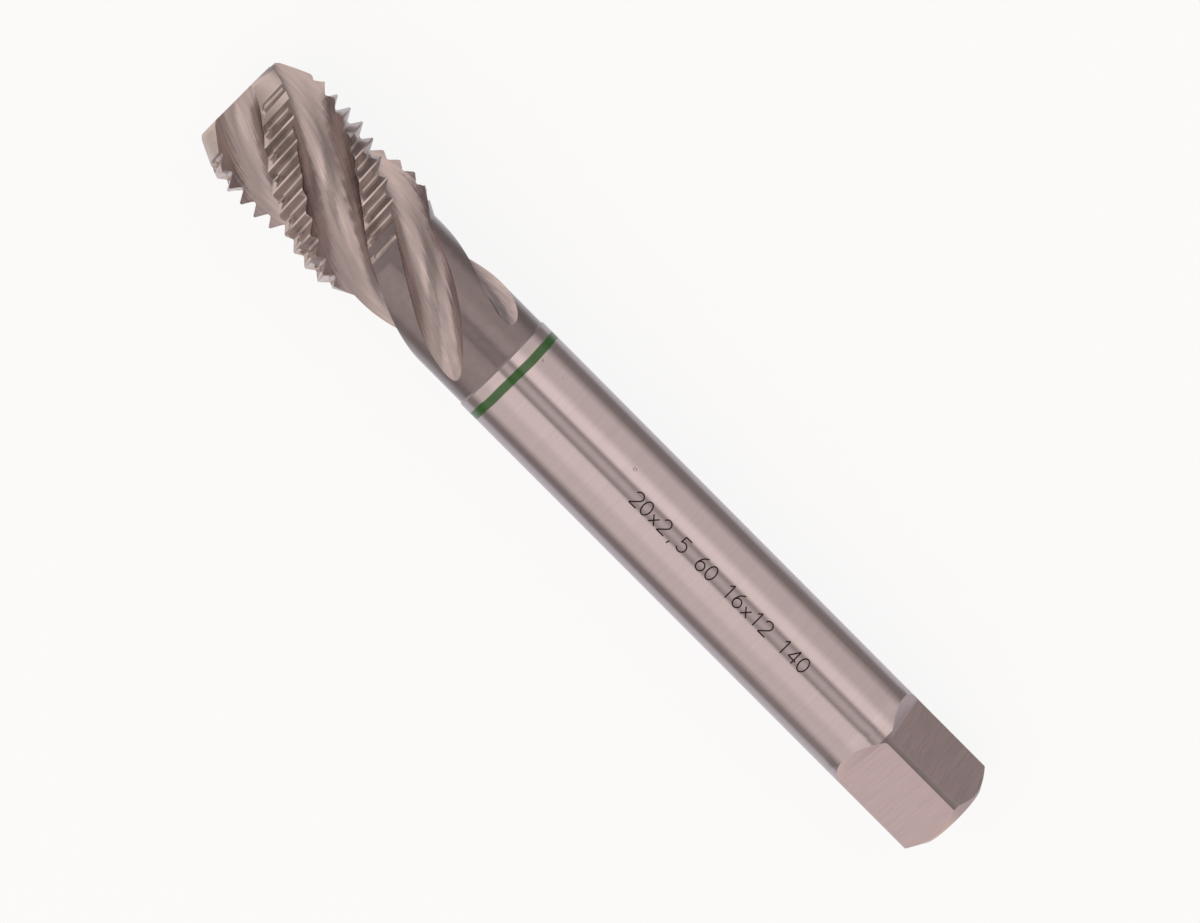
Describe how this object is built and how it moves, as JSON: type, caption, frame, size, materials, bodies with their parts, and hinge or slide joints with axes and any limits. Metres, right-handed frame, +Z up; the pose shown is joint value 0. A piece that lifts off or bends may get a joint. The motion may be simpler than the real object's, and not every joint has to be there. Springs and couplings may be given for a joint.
{
  "type": "spiral flute tap",
  "caption": "Long-shank machine tap with right-hand spiral flutes, a coarse metric thread, a plain round shank and a driving square.",
  "frame": {"origin": "middle of the end face of the driving square, on the tap's axis", "axes": "+X runs from the thread to the square, +Z is up as the tap lies on a table; the axis falls 1.05 degrees towards the square, because the thread is thicker than the shank"},
  "size_m": [0.1402, 0.02, 0.0202],
  "materials": {
    "ground_steel": "ground high speed steel, bright on the shank and flutes, dull on the neck"
  },
  "bodies": {
    "root": {"spiral_flute_tap": "ground_steel"}
  },
  "joints": []
}
